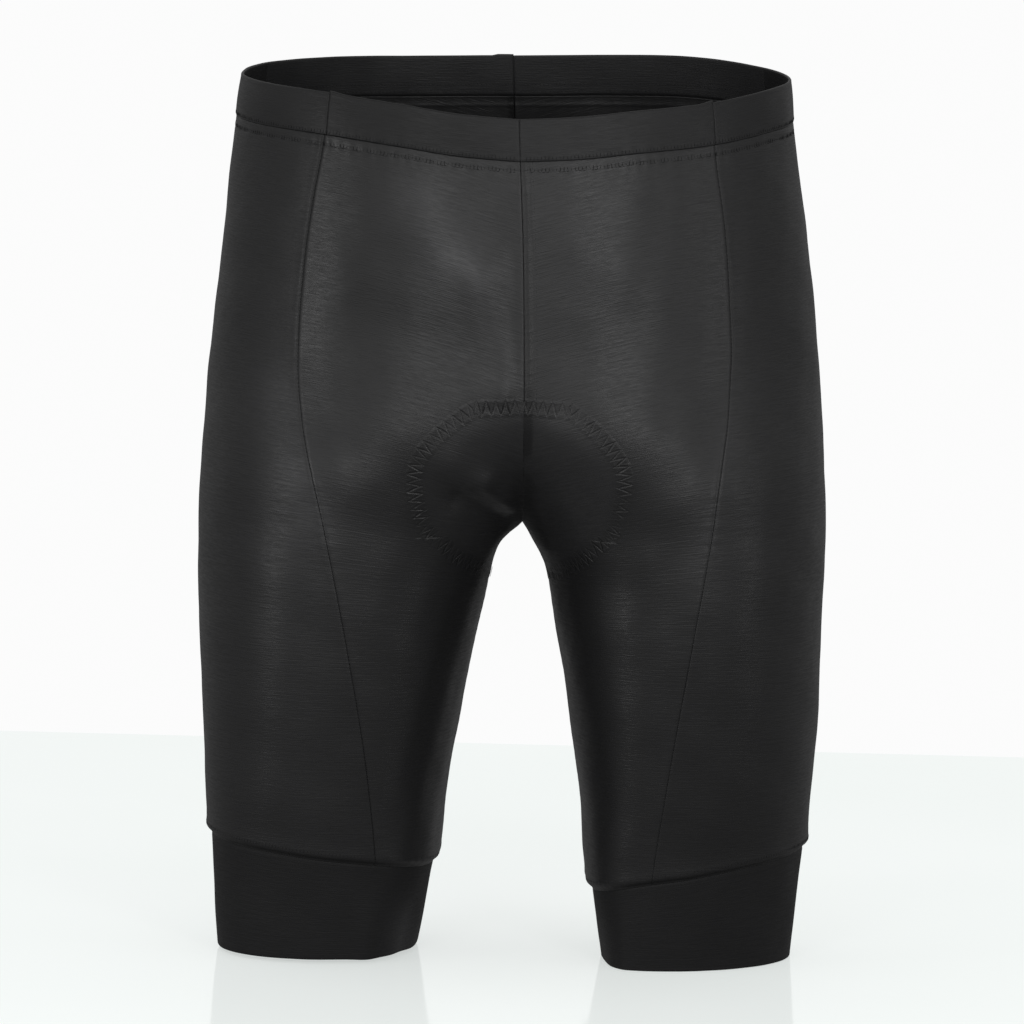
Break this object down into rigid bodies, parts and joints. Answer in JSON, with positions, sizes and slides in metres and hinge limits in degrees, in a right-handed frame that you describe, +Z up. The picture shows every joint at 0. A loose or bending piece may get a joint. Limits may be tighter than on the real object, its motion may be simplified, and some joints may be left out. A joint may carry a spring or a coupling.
{
  "type": "cycling shorts",
  "caption": "Close-fitting cycling shorts in their worn form, with a sewn waistband, shaped leg panels, leg cuffs and a padded seat, hollow and open at the waist and hems.",
  "frame": {"origin": "middle of the waist opening, level with the top edge at the sides", "axes": "+Z up, the front of the shorts faces -Y, +X is the wearer's left"},
  "size_m": [0.3483, 0.2518, 0.4932],
  "materials": {
    "panel_lycra": "smooth stretch knit with a soft sheen",
    "side_lycra": "smooth stretch knit, duller than the front",
    "waistband": "stretch knit folded over elastic",
    "cuff": "matte knit",
    "pad": "brushed cloth over foam"
  },
  "bodies": {
    "root": {"front_panel_left": "panel_lycra", "front_panel_right": "panel_lycra", "side_panel_left": "side_lycra", "side_panel_right": "side_lycra", "back_panel_left": "panel_lycra", "back_panel_right": "panel_lycra", "waistband_front_left": "waistband", "waistband_front_right": "waistband", "waistband_side_left": "waistband", "waistband_side_right": "waistband", "waistband_back_left": "waistband", "waistband_back_right": "waistband", "cuff_left": "cuff", "cuff_right": "cuff", "chamois_pad": "pad"}
  },
  "joints": []
}
